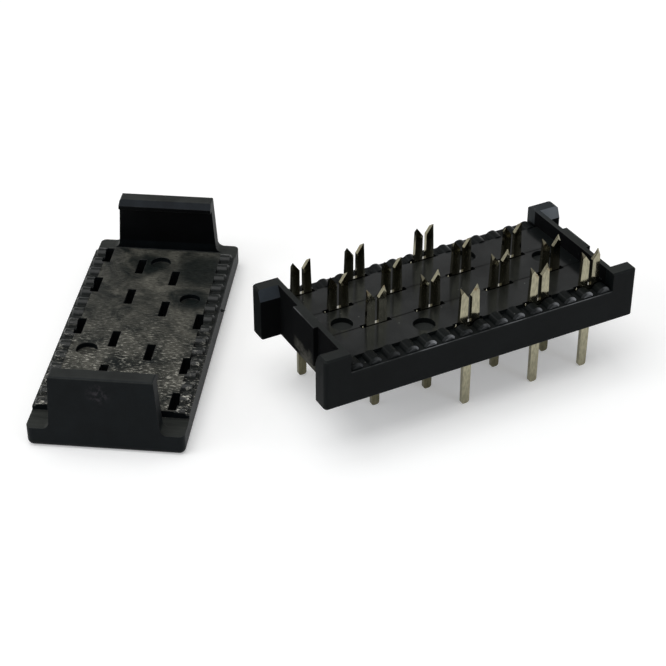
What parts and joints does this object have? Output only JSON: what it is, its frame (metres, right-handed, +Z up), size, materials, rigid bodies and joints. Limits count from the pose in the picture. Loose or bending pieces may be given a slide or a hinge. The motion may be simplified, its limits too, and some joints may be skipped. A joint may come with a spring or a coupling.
{
  "type": "insulation displacement connector",
  "caption": "Board connector with forked contacts that cut into a flat ribbon cable, shown open: base with solder tails, and snap cover lying beside it.",
  "frame": {"origin": "middle of the base's flat underside, which seats on the circuit board", "axes": "+X along the base, +Y across it towards the loose cover, +Z up out of the deck along the forks"},
  "size_m": [0.0375, 0.0282, 0.0086],
  "materials": {
    "base_plastic": "black glass-filled polyester, moulded, fine satin",
    "cover_plastic": "black glass-filled polyester, moulded, satin arms and a polished inner face with flow marks",
    "tinned_contact": "tin-plated copper alloy strip, stamped, bright with a slight warm tarnish"
  },
  "bodies": {
    "root": {"base_housing": "base_plastic", "cover": "cover_plastic", "contact_01": "tinned_contact", "contact_02": "tinned_contact", "contact_03": "tinned_contact", "contact_04": "tinned_contact", "contact_05": "tinned_contact", "contact_06": "tinned_contact", "contact_07": "tinned_contact", "contact_08": "tinned_contact", "contact_09": "tinned_contact", "contact_10": "tinned_contact", "contact_11": "tinned_contact", "contact_12": "tinned_contact", "contact_13": "tinned_contact", "contact_14": "tinned_contact"}
  },
  "joints": []
}
